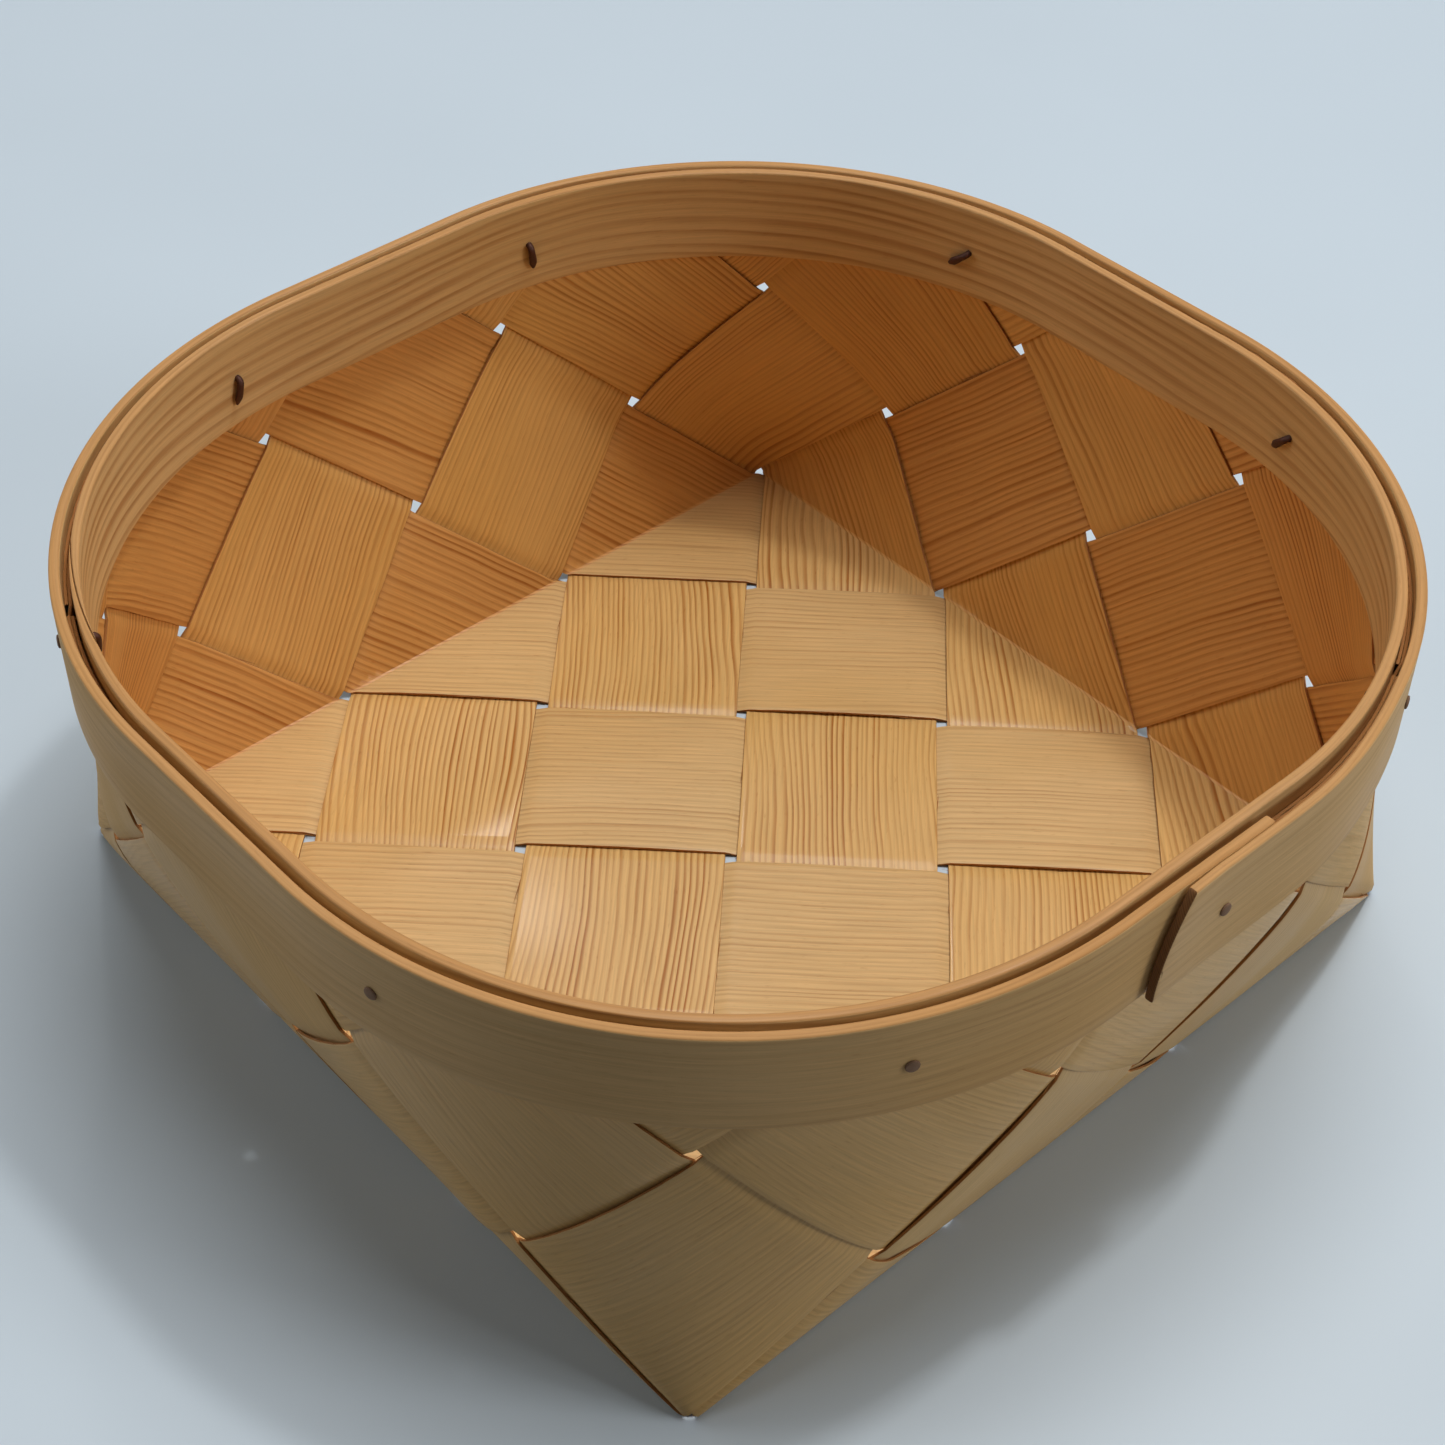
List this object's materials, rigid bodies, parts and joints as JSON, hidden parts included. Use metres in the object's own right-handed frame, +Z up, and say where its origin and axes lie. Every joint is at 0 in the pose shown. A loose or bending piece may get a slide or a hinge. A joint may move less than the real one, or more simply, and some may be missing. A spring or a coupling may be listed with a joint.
{
  "type": "woven splint basket",
  "caption": "Open basket plaited from wide pine splints on a square base, with rounded walls between a lapped outer and a scarfed inner rim hoop held by clinched nails.",
  "frame": {"origin": "centre of the base, on the surface that the basket stands on", "axes": "+Z up; X and Y square to the sides of the base; the outer hoop's lap is in the middle of the +X side"},
  "size_m": [0.2391, 0.2366, 0.094],
  "materials": {
    "warp_splint": "planed pine with strong ring lines",
    "weft_splint": "planed pine with fine ring lines",
    "rim_hoop": "bent pine band, smooth",
    "nail": "dark oxidised wire nail"
  },
  "bodies": {
    "root": {"warp_splint_1": "warp_splint", "warp_splint_2": "warp_splint", "warp_splint_3": "warp_splint", "warp_splint_4": "warp_splint", "warp_splint_5": "warp_splint", "warp_splint_6": "warp_splint", "weft_splint_1": "weft_splint", "weft_splint_2": "weft_splint", "weft_splint_3": "weft_splint", "weft_splint_4": "weft_splint", "weft_splint_5": "weft_splint", "weft_splint_6": "weft_splint", "inner_hoop": "rim_hoop", "outer_hoop": "rim_hoop", "nail_1": "nail", "nail_2": "nail", "nail_3": "nail", "nail_4": "nail", "nail_5": "nail", "nail_6": "nail", "nail_7": "nail", "nail_8": "nail", "nail_9": "nail"}
  },
  "joints": []
}
